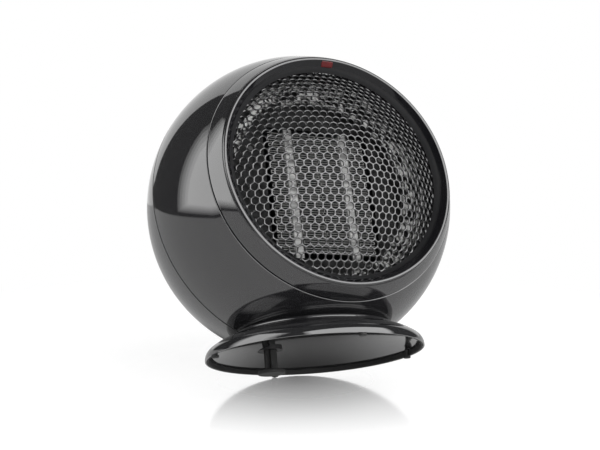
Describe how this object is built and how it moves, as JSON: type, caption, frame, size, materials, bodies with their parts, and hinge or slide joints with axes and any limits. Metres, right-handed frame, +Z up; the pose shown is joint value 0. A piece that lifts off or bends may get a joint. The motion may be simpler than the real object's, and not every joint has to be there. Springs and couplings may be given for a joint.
{
  "type": "ceramic space heater",
  "caption": "Black globe-shaped ceramic fan heater on a flared round base, with a domed hexagon-perforated front grille, rear air intake, control knob and tip-over plunger.",
  "frame": {"origin": "middle of the round base on the floor that the feet stand on", "axes": "+Z up, the outlet faces -Y, +X to the right as seen from the front"},
  "size_m": [0.17, 0.1534, 0.177],
  "materials": {
    "shell": "high gloss black",
    "bezel": "gloss black outside, satin inner wall",
    "satin_black": "satin black",
    "grille": "satin black baked enamel on perforated sheet",
    "red_lens": "clear red, polished",
    "lamp": "clear",
    "knob": "satin black",
    "steel": "plain",
    "black_steel": "black oxide",
    "switch": "moulded phenolic",
    "rubber": "matte",
    "duct": "heat-proof dark grey",
    "frame_black": "glass-filled, matte",
    "aluminium": "mill finish",
    "brass": "plain",
    "fan": "moulded"
  },
  "bodies": {
    "heater": {"front_shell": "shell", "rear_shell": "shell", "rear_grille": "satin_black", "front_bezel": "bezel", "front_grille": "grille", "indicator_lens": "red_lens", "indicator_lamp": "lamp", "dial_plate": "satin_black", "rotary_switch": "switch", "cord_gland": "rubber", "air_duct": "duct", "element_frame": "frame_black", "ptc_bar_left": "aluminium", "ptc_bar_right": "aluminium", "fins_outer_left": "aluminium", "fins_inner_left": "aluminium", "fins_inner_right": "aluminium", "fins_outer_right": "aluminium", "ptc_terminals": "brass", "thermal_cutout": "switch", "thermal_fuse": "brass", "motor_bracket": "duct", "fan_motor": "steel", "base_skirt": "shell", "base_ring": "satin_black", "rubber_feet": "rubber", "plunger_guide": "satin_black", "plunger_spring": "steel", "tip_switch": "switch", "case_screws": "steel", "bezel_screws": "steel", "bracket_screws": "steel", "motor_screws": "steel", "frame_screws": "black_steel", "base_screws": "steel"},
    "fan": {"fan_impeller": "fan", "motor_shaft": "steel"},
    "knob": {"control_knob": "knob", "switch_shaft": "steel"},
    "plunger": {"tip_plunger": "satin_black"}
  },
  "joints": [
    {"name": "fan_spin", "type": "hinge", "parent": "heater", "child": "fan", "pos_m": [0, 0.00954, 0.08681], "axis": [0, -0.9978, 0.0656], "continuous": true},
    {"name": "knob_turn", "type": "hinge", "parent": "heater", "child": "knob", "pos_m": [0, 0.06296, 0.14702], "axis": [0, 0.6916, 0.7222], "range_deg": [-135, 0]},
    {"name": "plunger_slide", "type": "slide", "parent": "heater", "child": "plunger", "axis": [0, 0, 1], "range_m": [0, 0.005], "stiffness_N_per_m": 60, "springref_m": -0.005, "deforming": ["plunger_spring"]}
  ]
}
